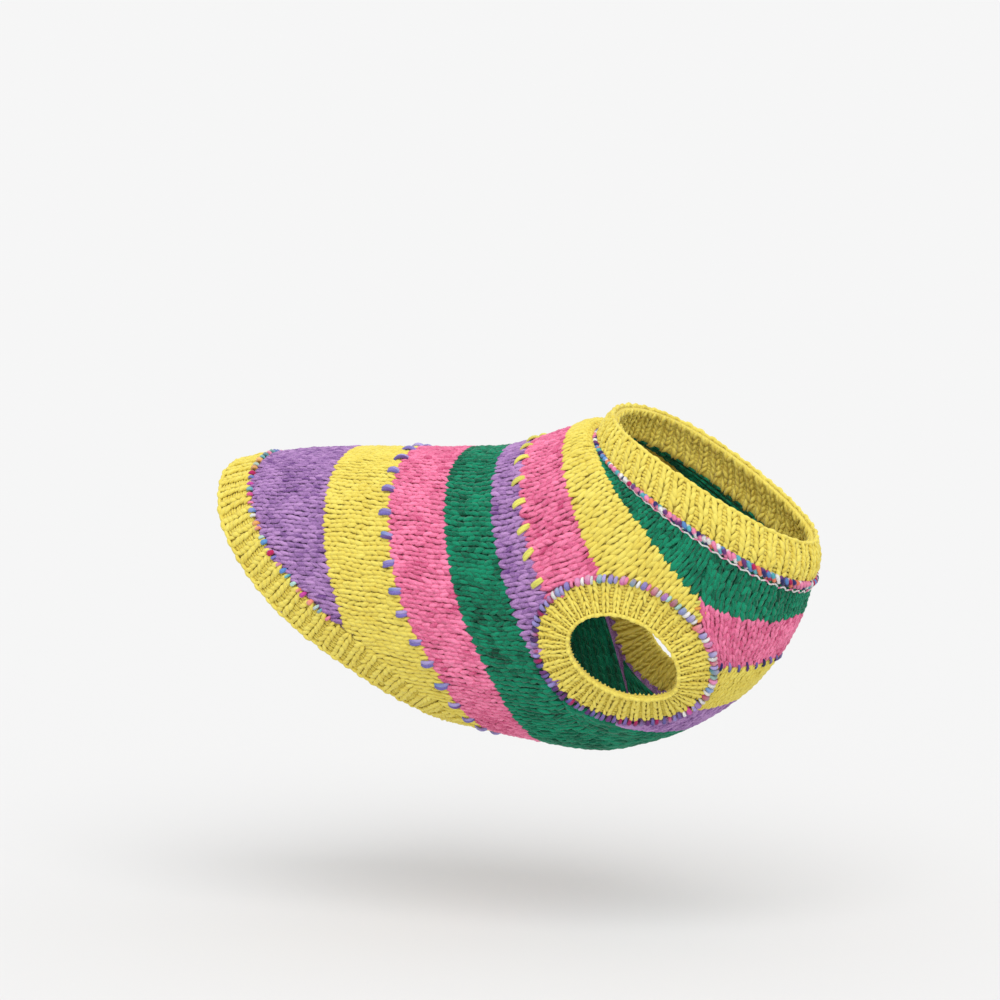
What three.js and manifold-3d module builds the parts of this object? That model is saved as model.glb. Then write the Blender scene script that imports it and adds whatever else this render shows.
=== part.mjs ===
// A hand-knitted striped pet sweater in the hollow form it has when worn.
// Millimetres. +X points to the neck, +Y to the wearer's left, +Z up.
// The origin is on the inner face of the back, over the shoulders.
import * as THREE from 'three';
import { mergeVertices } from 'three/addons/utils/BufferGeometryUtils.js';
import Module from 'manifold-3d';

// Driving sizes
const wallThickness = 3;        // the knitted wall
const seamGap = 0.4;            // between two sewn pieces, measured along the body
const panelColumns = 44;        // facets round the body
const panelRowLength = 8;       // facet length along the body
const widestShift = 0.08;       // how far the widest place of each loop lies above its middle
const squareness = 0.03;        // how much fuller than an oval each loop is
const hemRibWidth = 17.5;
const hemRibCount = 58;
const neckRibCount = 46;
const neckRibBulge = 1.6;       // the collar is plump between its seam and its rim
const neckRibThickness = 4;
const armRibWidth = 16;
const armRibCount = 38;
const armRibLift = 2;           // the arm bands stand off the body at their free edge
const ribRise = 0.6;            // ribs above and furrows below the mean surface
const wideRib = [1, 1, -1, -1]; // columns over one rib of the collar or hem: up on it, down beside it
const narrowRib = [1, -1];      // the same for the arm bands
const bandRows = 3;             // facets across a ribbed band
const panelLengths = { rear: 84, middle: 64, yoke: 58, chest: 90, bib: 45 };    // longest, along the body

// Loops of the body from the tail end to the collar rim.
// Each loop is an oval that hangs from a spine point to a belly point.
// place: position along the body, 0 at the tail end, 100 at the collar seam
// bowX, bowZ: how far the two sides of the loop lie off its plane
const loops = [
  { place: -12, spineX: -158, spineZ: -16, bellyX: -150, bellyZ: -112, halfWidth: 42, bowX: 0, bowZ: 0 },
  { place: 0, spineX: -126, spineZ: -7, bellyX: -118, bellyZ: -118, halfWidth: 47, bowX: 0, bowZ: 0 },
  { place: 14, spineX: -97, spineZ: -2, bellyX: -88, bellyZ: -123, halfWidth: 53, bowX: 0, bowZ: 0 },
  { place: 26, spineX: -70, spineZ: 0, bellyX: -56, bellyZ: -128, halfWidth: 57, bowX: 0, bowZ: 0 },
  { place: 40, spineX: -36, spineZ: 1, bellyX: -10, bellyZ: -135, halfWidth: 60, bowX: 0, bowZ: 0 },
  { place: 50, spineX: -12, spineZ: 2, bellyX: 28, bellyZ: -141, halfWidth: 61, bowX: 0, bowZ: 0 },
  { place: 60, spineX: 12, spineZ: 4, bellyX: 68, bellyZ: -144, halfWidth: 61, bowX: -2, bowZ: 0 },
  { place: 68, spineX: 27, spineZ: 8, bellyX: 101, bellyZ: -135, halfWidth: 61, bowX: -4, bowZ: 0 },
  { place: 78, spineX: 44, spineZ: 14, bellyX: 134, bellyZ: -115, halfWidth: 59, bowX: -5, bowZ: 0 },
  { place: 89, spineX: 58, spineZ: 19, bellyX: 158, bellyZ: -86, halfWidth: 56, bowX: -4, bowZ: 1 },
  { place: 100, spineX: 64, spineZ: 14, bellyX: 169, bellyZ: -57, halfWidth: 50, bowX: -2, bowZ: 1 },
  { place: 112, spineX: 72, spineZ: 26, bellyX: 171, bellyZ: -37, halfWidth: 46, bowX: -4, bowZ: 4 },
];

// Where each edge or seam crosses the back, the flanks, the sides and the belly
const seams = [
  { name: 'hem', spine: 5, back: 5.5, flank: 9.5, side: 19.5, low: 34, under: 42.5, belly: 44 },
  { name: 'blueSeam', spine: 40, back: 40, flank: 40, side: 40.5, low: 43, under: 44.5, belly: 45.5 },
  { name: 'yellowSeam', spine: 69, back: 69, flank: 67.4, side: 66.4, low: 67, under: 70, belly: 73 },
  { name: 'chestSeam', spine: 79, back: 79, flank: 79, side: 78, low: 78, under: 82.3, belly: 86 },
];
const seamAngles = { spine: 0, back: 30, flank: 60, side: 90, low: 120, under: 150, belly: 180 };
const bellySeamPlace = 61;      // the chest panel starts here, behind the arm openings
const collarSeamPlace = 100;
const collarRimPlace = 112;
const bellySeamAngle = 118;     // past this angle the tube ends at the belly seam
const chestAngle = 124;         // the chest panel starts here on both sides, inside the arm openings
const yokeAngle = 128;          // the yoke reaches this far down before it is cut at the shoulder seam
const bibAngle = 112;           // the bib starts this high before it is cut there

// The shoulder seam seen from the side, from the arm opening up past the collar
const shoulderSeam = [
  { x: 127, z: -90 },
  { x: 128, z: -62 },
  { x: 129, z: -51 },
  { x: 138, z: -33 },
  { x: 160, z: 10 },
];

// The arm opening seen from the side, as a tilted oval
const armOpening = { x: 90, z: -88, halfLength: 41.5, halfHeight: 35, tilt: -20 };
const cutterDepth = 90;
const cutterReach = 300;
const cutterStart = 12;         // the cutter stays this far off the middle plane

// How finely curves are followed
const slopeStep = 0.01;         // step in place and angle that a direction is measured over
const curveStep = 0.002;        // share of a closed curve that its run is measured over
const walkSteps = 4;            // steps of a walk across a band
const measureSteps = 360;       // steps that a closed curve is measured in
const thinnestColumn = 0.25;    // a facet at a panel's end is at least this share of a whole one
const armSearch = { place: 75, angle: 105, rounds: 30, longestPlaceStep: 4, longestAngleStep: 0.2 };

const colours = { yellow: 0xe6d957, purple: 0x9b74bc, pink: 0xe2689b, green: 0x16755a };

const degree = Math.PI / 180;

// Smooth curve through rows of a table; with level ends it has no slope at its first and last row
function smooth(xs, ys, x, levelEnds = false) {
  const last = xs.length - 1;
  let k = 0;
  while (k < last - 1 && x >= xs[k + 1]) k += 1;
  const slope = (i) => {
    const before = i > 0 ? (ys[i] - ys[i - 1]) / (xs[i] - xs[i - 1]) : null;
    const after = i < last ? (ys[i + 1] - ys[i]) / (xs[i + 1] - xs[i]) : null;
    if (before === null) return levelEnds ? 0 : after;
    if (after === null) return levelEnds ? 0 : before;
    const stepBefore = xs[i] - xs[i - 1];
    const stepAfter = xs[i + 1] - xs[i];
    return (before * stepAfter + after * stepBefore) / (stepBefore + stepAfter);
  };
  const h = xs[k + 1] - xs[k];
  const t = (x - xs[k]) / h;
  const t2 = t * t;
  const t3 = t2 * t;
  const start = (2 * t3 - 3 * t2 + 1) * ys[k] + (t3 - 2 * t2 + t) * h * slope(k);
  return start + (3 * t2 - 2 * t3) * ys[k + 1] + (t3 - t2) * h * slope(k + 1);
}

const places = loops.map((loop) => loop.place);
const columnOf = (name) => loops.map((loop) => loop[name]);
const loopColumns = {};
for (const name of ['spineX', 'spineZ', 'bellyX', 'bellyZ', 'halfWidth', 'bowX', 'bowZ']) {
  loopColumns[name] = columnOf(name);
}

// Outer surface of the body. angle is 0 on the spine, 90 degrees on the right side, 180 on the belly.
function bodyPoint(place, angle) {
  const at = {};
  for (const name of Object.keys(loopColumns)) at[name] = smooth(places, loopColumns[name], place);
  const up = Math.cos(angle);
  const out = Math.sin(angle);
  const x = (at.spineX + at.bellyX) / 2 + (at.spineX - at.bellyX) / 2 * up + at.bowX * out * out;
  const z = (at.spineZ + at.bellyZ) / 2 + (at.spineZ - at.bellyZ) / 2 * up + at.bowZ * out * out;
  const fullness = squareness * Math.sin(3 * angle);
  const y = -at.halfWidth * (out * (1 + widestShift * up) + fullness) / (1 - squareness);
  return new THREE.Vector3(x, y, z);
}

// Directions along and round the body, and the outward normal
function bodyFrame(place, angle) {
  const h = slopeStep;
  const along = bodyPoint(place + h, angle).sub(bodyPoint(place - h, angle)).divideScalar(2 * h);
  const round = bodyPoint(place, angle + h).sub(bodyPoint(place, angle - h)).divideScalar(2 * h);
  const normal = along.clone().cross(round).normalize().negate();
  return { along, round, normal };
}

function raised(place, angle, height) {
  return bodyPoint(place, angle).addScaledVector(bodyFrame(place, angle).normal, height);
}

// Degrees from the spine round to an angle, the shorter way; both sides of the body are alike
function turnFromSpine(angle) {
  return Math.abs(Math.atan2(Math.sin(angle), Math.cos(angle))) / degree;
}

// Place of a seam at an angle
function seamPlace(name, angle) {
  const seam = seams.find((row) => row.name === name);
  const keys = Object.keys(seamAngles);
  const angles = keys.map((key) => seamAngles[key]);
  return smooth(angles, keys.map((key) => seam[key]), turnFromSpine(angle), true);
}

// Shift a place along the body by a length in millimetres
function shiftPlace(place, angle, length) {
  return place + length / bodyFrame(place, angle).along.length();
}

// Place and angle reached on the surface by walking a length square to a curve.
// curve gives place and angle for a share of its length, side is +1 or -1.
function walkAcross(curve, share, side, length) {
  const here = curve(share);
  const before = curve(share - curveStep);
  const after = curve(share + curveStep);
  let place = here.place;
  let angle = here.angle;
  for (let i = 0; i < walkSteps; i += 1) {
    const { along, round, normal } = bodyFrame(place, angle);
    const run = along.clone().multiplyScalar(after.place - before.place);
    run.addScaledVector(round, after.angle - before.angle).normalize();
    const across = run.cross(normal).multiplyScalar(side * length / walkSteps);
    const aa = along.dot(along);
    const ar = along.dot(round);
    const rr = round.dot(round);
    const wantAlong = across.dot(along);
    const wantRound = across.dot(round);
    const area = aa * rr - ar * ar;
    place += (wantAlong * rr - wantRound * ar) / area;
    angle += (wantRound * aa - wantAlong * ar) / area;
  }
  return { place, angle };
}

// Closed wall from a grid of outer points and the same grid of inner points
function wallGeometry(rows, columns, closed, outer, inner) {
  const positions = [];
  const index = [];
  const last = closed ? columns : columns - 1;
  const id = (layer, i, j) => (layer * rows + i) * columns + (j % columns);
  for (const layer of [outer, inner]) {
    for (let i = 0; i < rows; i += 1) {
      for (let j = 0; j < columns; j += 1) {
        const p = layer(i, j);
        positions.push(p.x, p.y, p.z);
      }
    }
  }
  const quad = (a, b, c, d) => index.push(a, b, c, a, c, d);
  for (let i = 0; i < rows - 1; i += 1) {
    for (let j = 0; j < last; j += 1) {
      quad(id(0, i, j), id(0, i, j + 1), id(0, i + 1, j + 1), id(0, i + 1, j));
      quad(id(1, i, j), id(1, i + 1, j), id(1, i + 1, j + 1), id(1, i, j + 1));
    }
  }
  for (let j = 0; j < last; j += 1) {
    quad(id(0, 0, j), id(1, 0, j), id(1, 0, j + 1), id(0, 0, j + 1));
    quad(id(0, rows - 1, j), id(0, rows - 1, j + 1), id(1, rows - 1, j + 1), id(1, rows - 1, j));
  }
  if (!closed) {
    for (let i = 0; i < rows - 1; i += 1) {
      quad(id(0, i, 0), id(0, i + 1, 0), id(1, i + 1, 0), id(1, i, 0));
      quad(id(0, i, last), id(1, i, last), id(1, i + 1, last), id(0, i + 1, last));
    }
  }
  const geometry = new THREE.BufferGeometry();
  geometry.setAttribute('position', new THREE.Float32BufferAttribute(positions, 3));
  geometry.setIndex(index);
  return facingOut(geometry);
}

// Turn the faces round if they point inward
function facingOut(geometry) {
  const p = geometry.attributes.position;
  const index = geometry.index.array;
  const a = new THREE.Vector3();
  const b = new THREE.Vector3();
  const c = new THREE.Vector3();
  let volume = 0;
  for (let i = 0; i < index.length; i += 3) {
    a.fromBufferAttribute(p, index[i]);
    b.fromBufferAttribute(p, index[i + 1]);
    c.fromBufferAttribute(p, index[i + 2]);
    volume += a.dot(b.cross(c));
  }
  if (volume < 0) {
    for (let i = 0; i < index.length; i += 3) [index[i + 1], index[i + 2]] = [index[i + 2], index[i + 1]];
  }
  return geometry;
}

// A panel of the body between two seams, with angles from startAngle to endAngle.
// All panels have their facets at the same angles, so that they meet evenly at a seam.
function panelGeometry(from, to, startAngle, endAngle, rows) {
  const closed = endAngle - startAngle === 360;
  const step = 360 / panelColumns;
  const angles = closed ? [] : [startAngle];
  for (let angle = Math.ceil(startAngle / step) * step; angle < endAngle; angle += step) {
    const crowded = Math.min(angle - startAngle, endAngle - angle) < step * thinnestColumn;
    if (closed || !crowded) angles.push(angle);
  }
  if (!closed) angles.push(endAngle);
  const columns = angles.length;
  const angleAt = (j) => angles[j] * degree;
  const placeAt = (i, angle) => {
    const first = shiftPlace(from(angle), angle, seamGap / 2);
    const last = shiftPlace(to(angle), angle, -seamGap / 2);
    return first + (last - first) * i / (rows - 1);
  };
  const point = (height) => (i, j) => raised(placeAt(i, angleAt(j)), angleAt(j), height);
  return wallGeometry(rows, columns, closed, point(0), point(-wallThickness));
}

// A ribbed band. positionAt gives place and angle for a share of the turn and a share of the width.
function bandGeometry(ribCount, profile, thickness, positionAt, swell) {
  const columns = ribCount * profile.length;
  const point = (outer) => (i, j) => {
    const width = i / bandRows;
    const { place, angle } = positionAt(j / columns, width);
    const inside = i > 0 && i < bandRows;
    const rib = outer && inside ? ribRise * profile[j % profile.length] : 0;
    return raised(place, angle, swell(width) + rib - (outer ? 0 : thickness));
  };
  return wallGeometry(bandRows + 1, columns, true, point(true), point(false));
}

// Walk round a closed curve in even steps: returns the curve with share measured by length
function evenly(curve) {
  const lengths = [0];
  let previous = bodyPoint(curve(0).place, curve(0).angle);
  for (let i = 1; i <= measureSteps; i += 1) {
    const at = curve(i / measureSteps);
    const point = bodyPoint(at.place, at.angle);
    lengths.push(lengths[i - 1] + point.distanceTo(previous));
    previous = point;
  }
  const whole = lengths[measureSteps];
  return (share) => {
    const turns = Math.floor(share);
    const target = (share - turns) * whole;
    let i = 0;
    while (i < measureSteps - 1 && lengths[i + 1] < target) i += 1;
    const part = (target - lengths[i]) / (lengths[i + 1] - lengths[i]);
    return curve(turns + (i + part) / measureSteps);
  };
}

// Point of the arm opening's oval seen from the side
function armOutline(share, grow = 0) {
  const turn = share * 2 * Math.PI;
  const u = (armOpening.halfLength + grow) * Math.cos(turn);
  const v = (armOpening.halfHeight + grow) * Math.sin(turn);
  const c = Math.cos(armOpening.tilt * degree);
  const s = Math.sin(armOpening.tilt * degree);
  return { x: armOpening.x + u * c - v * s, z: armOpening.z + u * s + v * c };
}

// Place and angle of the right side's surface point that lies at x, z
function surfaceAt(x, z) {
  const { longestPlaceStep, longestAngleStep } = armSearch;
  let place = armSearch.place;
  let angle = armSearch.angle * degree;
  for (let i = 0; i < armSearch.rounds; i += 1) {
    const p = bodyPoint(place, angle);
    const { along, round } = bodyFrame(place, angle);
    const dx = x - p.x;
    const dz = z - p.z;
    const area = along.x * round.z - round.x * along.z;
    const placeStep = (dx * round.z - round.x * dz) / area;
    const angleStep = (along.x * dz - dx * along.z) / area;
    place += THREE.MathUtils.clamp(placeStep, -longestPlaceStep, longestPlaceStep);
    angle += THREE.MathUtils.clamp(angleStep, -longestAngleStep, longestAngleStep);
  }
  return { place, angle };
}

const wasm = await Module();
wasm.setup();

function solidOf(geometry) {
  const bare = geometry.clone();
  bare.deleteAttribute('normal');
  bare.deleteAttribute('uv');
  const merged = mergeVertices(bare, 1e-4);
  const mesh = new wasm.Mesh({
    numProp: 3,
    vertProperties: new Float32Array(merged.attributes.position.array),
    triVerts: new Uint32Array(merged.index.array),
  });
  return new wasm.Manifold(mesh);
}

function geometryOf(solid) {
  const mesh = solid.getMesh();
  const geometry = new THREE.BufferGeometry();
  geometry.setAttribute('position', new THREE.Float32BufferAttribute(mesh.vertProperties, 3));
  geometry.setIndex(Array.from(mesh.triVerts));
  return geometry;
}

// The oval plug that cuts an arm opening; side is -1 on the right, +1 on the left
function armCutter(side) {
  const shape = new THREE.Shape();
  const count = armRibCount * narrowRib.length;
  for (let i = 0; i < count; i += 1) {
    const p = armOutline(i / count, seamGap);
    if (i === 0) shape.moveTo(p.x, p.z);
    else shape.lineTo(p.x, p.z);
  }
  const geometry = new THREE.ExtrudeGeometry(shape, { depth: cutterDepth, bevelEnabled: false });
  geometry.rotateX(90 * degree);
  geometry.translate(0, side < 0 ? -cutterStart : cutterStart + cutterDepth, 0);
  return solidOf(geometry);
}

// Everything in front of the shoulder seam, or behind it
function seamCutter(inFront) {
  const side = inFront ? 1 : -1;
  const shift = -side * seamGap / 2;
  const far = side * cutterReach;
  const shape = new THREE.Shape();
  shape.moveTo(far, shoulderSeam[0].z - cutterReach);
  shape.lineTo(shoulderSeam[0].x + shift, shoulderSeam[0].z - cutterReach);
  for (const row of shoulderSeam) shape.lineTo(row.x + shift, row.z);
  const top = shoulderSeam[shoulderSeam.length - 1];
  shape.lineTo(top.x + shift, top.z + cutterReach);
  shape.lineTo(far, top.z + cutterReach);
  const geometry = new THREE.ExtrudeGeometry(shape, { depth: 2 * cutterDepth, bevelEnabled: false });
  geometry.rotateX(90 * degree);
  geometry.translate(0, cutterDepth, 0);
  return solidOf(geometry);
}

const armCutters = [armCutter(-1), armCutter(1)];

function cut(geometry, cutters) {
  let solid = solidOf(geometry);
  for (const cutter of cutters) solid = solid.subtract(cutter);
  return geometryOf(solid);
}

function rowsFor(length) {
  return Math.round(length / panelRowLength) + 1;
}

const seam = (name) => (angle) => seamPlace(name, angle);
const at = (place) => () => place;

const group = new THREE.Group();

function addPiece(name, geometry, colour) {
  geometry.computeVertexNormals();
  const material = new THREE.MeshStandardMaterial({ color: colour, roughness: 0.9, metalness: 0 });
  const mesh = new THREE.Mesh(geometry, material);
  mesh.name = name;
  group.add(mesh);
}

// Panels
addPiece(
  'rear_panel',
  panelGeometry(seam('hem'), seam('blueSeam'), 0, 360, rowsFor(panelLengths.rear)),
  colours.purple,
);

// The tube ends at the yellow seam on the back and at the belly seam below
const frontOfTube = (angle) => {
  return turnFromSpine(angle) > bellySeamAngle ? bellySeamPlace : seamPlace('yellowSeam', angle);
};
addPiece(
  'middle_panel',
  cut(panelGeometry(seam('blueSeam'), frontOfTube, 0, 360, rowsFor(panelLengths.middle)), armCutters),
  colours.pink,
);

const yokeRows = rowsFor(panelLengths.yoke);
const yoke = panelGeometry(seam('yellowSeam'), at(collarSeamPlace), -yokeAngle, yokeAngle, yokeRows);
addPiece('yoke_panel', cut(yoke, [...armCutters, seamCutter(true)]), colours.yellow);

const chestRows = rowsFor(panelLengths.chest);
const chest = panelGeometry(at(bellySeamPlace), seam('chestSeam'), chestAngle, 360 - chestAngle, chestRows);
addPiece('chest_panel', cut(chest, armCutters), colours.green);

const bibRows = rowsFor(panelLengths.bib);
const bib = panelGeometry(seam('chestSeam'), at(collarSeamPlace), bibAngle, 360 - bibAngle, bibRows);
addPiece('bib_panel', cut(bib, [...armCutters, seamCutter(false)]), colours.pink);

// Collar band, from its seam up to its rim
const neckCurve = evenly((share) => ({ place: collarSeamPlace, angle: share * 360 * degree }));
const neckPosition = (share, width) => {
  const { angle } = neckCurve(share);
  const first = shiftPlace(collarSeamPlace, angle, seamGap / 2);
  return { place: first + (collarRimPlace - first) * width, angle };
};
const neckSwell = (width) => neckRibBulge * Math.sin(width * Math.PI);
const neckBand = bandGeometry(neckRibCount, wideRib, neckRibThickness, neckPosition, neckSwell);
addPiece('neck_rib', neckBand, colours.yellow);

// Hem band, square to the slanted hem line
const hemCurve = evenly((share) => {
  const angle = share * 360 * degree;
  return { place: seamPlace('hem', angle), angle };
});
const hemPosition = (share, width) => {
  const reach = seamGap / 2 + (hemRibWidth - seamGap / 2) * width;
  return walkAcross(hemCurve, share, 1, reach);
};
const hemBand = bandGeometry(hemRibCount, wideRib, wallThickness, hemPosition, () => 0);
addPiece('hem_rib', hemBand, colours.yellow);

// Arm bands, from the oval inwards
const armCurve = evenly((share) => {
  const p = armOutline(share);
  return surfaceAt(p.x, p.z);
});
const armPosition = (share, width) => walkAcross(armCurve, share, -1, armRibWidth * width);
const armSwell = (width) => armRibLift * width * width;
const armBand = bandGeometry(armRibCount, narrowRib, wallThickness, armPosition, armSwell);
addPiece('armhole_rib_right', armBand, colours.yellow);
addPiece('armhole_rib_left', facingOut(armBand.clone().scale(1, -1, 1)), colours.yellow);

export default group;
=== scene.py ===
import bmesh
import bpy
import math
from mathutils import Matrix, Vector
import numpy as np


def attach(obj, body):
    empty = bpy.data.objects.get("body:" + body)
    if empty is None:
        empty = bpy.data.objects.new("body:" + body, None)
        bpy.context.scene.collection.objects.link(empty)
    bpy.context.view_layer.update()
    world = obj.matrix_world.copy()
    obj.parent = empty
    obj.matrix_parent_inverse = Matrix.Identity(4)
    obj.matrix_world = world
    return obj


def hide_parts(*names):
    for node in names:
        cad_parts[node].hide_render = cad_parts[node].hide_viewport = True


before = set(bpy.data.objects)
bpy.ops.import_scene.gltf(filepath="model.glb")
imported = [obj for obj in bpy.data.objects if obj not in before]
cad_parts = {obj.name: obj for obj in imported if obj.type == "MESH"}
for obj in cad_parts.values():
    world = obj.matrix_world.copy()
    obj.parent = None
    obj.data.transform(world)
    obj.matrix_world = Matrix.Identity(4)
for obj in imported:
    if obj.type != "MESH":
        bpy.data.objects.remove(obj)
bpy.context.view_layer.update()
mm = 0.001

# Loops of the body from the tail end to the collar rim, in millimetres.
# Each one is an oval that hangs from a spine point to a belly point.
loopNames = ("place", "spineX", "spineZ", "bellyX", "bellyZ", "halfWidth", "bowX", "bowZ")
loopRows = np.array([
    (-12, -158, -16, -150, -112, 42, 0, 0),
    (0, -126, -7, -118, -118, 47, 0, 0),
    (14, -97, -2, -88, -123, 53, 0, 0),
    (26, -70, 0, -56, -128, 57, 0, 0),
    (40, -36, 1, -10, -135, 60, 0, 0),
    (50, -12, 2, 28, -141, 61, 0, 0),
    (60, 12, 4, 68, -144, 61, -2, 0),
    (68, 27, 8, 101, -135, 61, -4, 0),
    (78, 44, 14, 134, -115, 59, -5, 0),
    (89, 58, 19, 158, -86, 56, -4, 1),
    (100, 64, 14, 169, -57, 50, -2, 1),
    (112, 72, 26, 171, -37, 46, -4, 4),
], dtype=float)
bodyForm = {"widestShift": 0.08, "squareness": 0.03, "collarSeam": 100.0, "collarRim": 112.0,
            "bellySeam": 61.0}

# Places of the seams and colour changes, from the spine round to the belly
lineAngles = np.radians([0, 30, 60, 90, 120, 150, 180])
lineRows = {
    "tail": (1, 1, 1, 1, 1, 1, 1),
    "hem": (5, 5.5, 9.5, 19.5, 34, 42.5, 44),
    "purpleYellow": (26.5, 26.4, 26.6, 27.7, 29.5, 30, 30),
    "blueSeam": (40, 40, 40, 40.5, 43, 44.5, 45.5),
    "pinkGreen": (52, 51.6, 51, 50.6, 51.7, 52, 52),
    "greenPurple": (61.5, 61.5, 60.6, 60, 60.3, 61, 61),
    "yellowSeam": (69, 69, 67.4, 66.4, 67, 70, 73),
    "backPinkYellow": (81.5, 81.2, 79.4, 77.5, 77.5, 80, 82),
    "backYellowGreen": (98, 97, 92.3, 90.1, 88.2, 91.4, 94),
    "chestGreenPurple": (61, 61, 61, 61, 61, 66, 70.3),
    "chestPurpleYellow": (66, 66, 66, 66, 66, 72, 77.5),
    "chestSeam": (79, 79, 79, 78, 78, 82.3, 86),
    "bibPinkGreen": (92, 92, 92, 90.1, 88.2, 91.4, 94),
    "collarSeam": (100, 100, 100, 100, 100, 100, 100),
    "belly": (bodyForm["bellySeam"],) * 7,
}
armOpening = {"x": 90.0, "z": -88.0, "halfLength": 41.5, "halfHeight": 35.0, "tilt": math.radians(-20),
              "fromMiddle": 12.0, "farReach": 9.0}
shoulderSeam = ((127, -90), (128, -62), (129, -51), (138, -33), (160, 10))    # x and z, seen from the side


def smoothCurve(xs, ys, x, levelEnds=False):
    xs = np.asarray(xs, float)
    ys = np.asarray(ys, float)
    x = np.asarray(x, float)
    steps = np.diff(xs)
    rises = np.diff(ys) / steps
    slopes = np.empty(len(xs))
    slopes[1:-1] = (rises[:-1] * steps[1:] + rises[1:] * steps[:-1]) / (steps[:-1] + steps[1:])
    slopes[0] = 0 if levelEnds else rises[0]
    slopes[-1] = 0 if levelEnds else rises[-1]
    k = np.clip(np.searchsorted(xs, x, side="right") - 1, 0, len(xs) - 2)
    h = steps[k]
    t = (x - xs[k]) / h
    start = (2 * t**3 - 3 * t**2 + 1) * ys[k] + (t**3 - 2 * t**2 + t) * h * slopes[k]
    return start + (3 * t**2 - 2 * t**3) * ys[k + 1] + (t**3 - t**2) * h * slopes[k + 1]


def bodyPoints(place, angle):
    place, angle = np.broadcast_arrays(np.asarray(place, float), np.asarray(angle, float))
    at = {name: smoothCurve(loopRows[:, 0], loopRows[:, i], place) for i, name in enumerate(loopNames)}
    up = np.cos(angle)
    out = np.sin(angle)
    x = (at["spineX"] + at["bellyX"]) / 2 + (at["spineX"] - at["bellyX"]) / 2 * up + at["bowX"] * out**2
    z = (at["spineZ"] + at["bellyZ"]) / 2 + (at["spineZ"] - at["bellyZ"]) / 2 * up + at["bowZ"] * out**2
    squareness = bodyForm["squareness"]
    widest = out * (1 + bodyForm["widestShift"] * up) + squareness * np.sin(3 * angle)
    y = -at["halfWidth"] * widest / (1 - squareness)
    return np.stack([x, y, z], -1) * mm


# Angle from the spine down either side, up to half a turn
def fromSpine(angle):
    return np.abs((np.asarray(angle) + math.pi) % (2 * math.pi) - math.pi)


def lineAt(name, angle):
    return smoothCurve(lineAngles, lineRows[name], fromSpine(angle), True)


def placeBetween(first, last, angle, row, rows):
    return lineAt(first, angle) + (lineAt(last, angle) - lineAt(first, angle)) * row / rows


def runLengths(points):
    return np.concatenate([[0], np.cumsum(np.linalg.norm(np.diff(points, axis=0), axis=1))])


def unit(vectors):
    return vectors / np.maximum(np.linalg.norm(vectors, axis=-1, keepdims=True), 1e-12)


# A surface kept as a fine grid of points and normals, read by straight steps between them
def makeSurface(us, vs, points, centre):
    alongU = np.gradient(points, axis=0)
    alongV = np.gradient(points, axis=1)
    if np.allclose(points[:, 0], points[:, -1], atol=1e-6):
        seamStep = (points[:, 1] - points[:, -2]) / 2
        alongV[:, 0] = seamStep
        alongV[:, -1] = seamStep
    normals = unit(np.cross(alongU, alongV))
    outward = (normals * (points - centre)).sum()
    if outward < 0:
        normals = -normals

    def read(u, v, height=0.0):
        u, v = np.broadcast_arrays(np.asarray(u, float), np.asarray(v, float))
        fu = np.clip((u - us[0]) / (us[-1] - us[0]) * (len(us) - 1), 0, len(us) - 1.001)
        fv = np.clip((v - vs[0]) / (vs[-1] - vs[0]) * (len(vs) - 1), 0, len(vs) - 1.001)
        i = fu.astype(int)
        j = fv.astype(int)
        a = (fu - i)[..., None]
        b = (fv - j)[..., None]
        corners = ((1 - a) * (1 - b), a * (1 - b), (1 - a) * b, a * b)
        cells = ((i, j), (i + 1, j), (i, j + 1), (i + 1, j + 1))
        p = sum(w * points[c] for w, c in zip(corners, cells))
        n = unit(sum(w * normals[c] for w, c in zip(corners, cells)))
        return p + n * np.asarray(height)[..., None], n

    return read


# The body as a surface over place and angle. The angle runs a little past both ends of the turn.
placeGrid = np.linspace(-14, 116, 261)
angleGrid = np.linspace(-0.5, 2 * math.pi + 0.5, 421)
bodyGrid = bodyPoints(placeGrid[:, None], angleGrid[None, :])
bodyRead = makeSurface(placeGrid, angleGrid, bodyGrid, (0.02, 0, -0.07))


# Angles that share each loop's length out evenly: shareAngle(place, share)
def makeShareTable():
    fine = np.linspace(0, 2 * math.pi, 721)
    shares = np.linspace(0, 1, 361)
    table = []
    for place in placeGrid:
        lengths = runLengths(bodyPoints(place, fine))
        table.append(np.interp(shares, lengths / lengths[-1], fine))
    table = np.array(table)
    lastRow = len(placeGrid) - 1
    lastColumn = len(shares) - 1

    def shareAngle(place, share):
        place, share = np.broadcast_arrays(np.asarray(place, float), np.asarray(share, float))
        turns = np.floor(share)
        fu = (place - placeGrid[0]) / (placeGrid[-1] - placeGrid[0]) * lastRow
        fu = np.clip(fu, 0, lastRow - 0.001)
        fv = (share - turns) * lastColumn
        i = fu.astype(int)
        j = np.minimum(fv.astype(int), lastColumn - 1)
        a = fu - i
        b = fv - j
        low = table[i, j] * (1 - b) + table[i, j + 1] * b
        high = table[i + 1, j] * (1 - b) + table[i + 1, j + 1] * b
        return low * (1 - a) + high * a + turns * 2 * math.pi

    return shareAngle


shareAngle = makeShareTable()


def armOutline(turn):
    u = armOpening["halfLength"] * np.cos(turn)
    v = armOpening["halfHeight"] * np.sin(turn)
    c = math.cos(armOpening["tilt"])
    s = math.sin(armOpening["tilt"])
    return armOpening["x"] + u * c - v * s, armOpening["z"] + u * s + v * c


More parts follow.
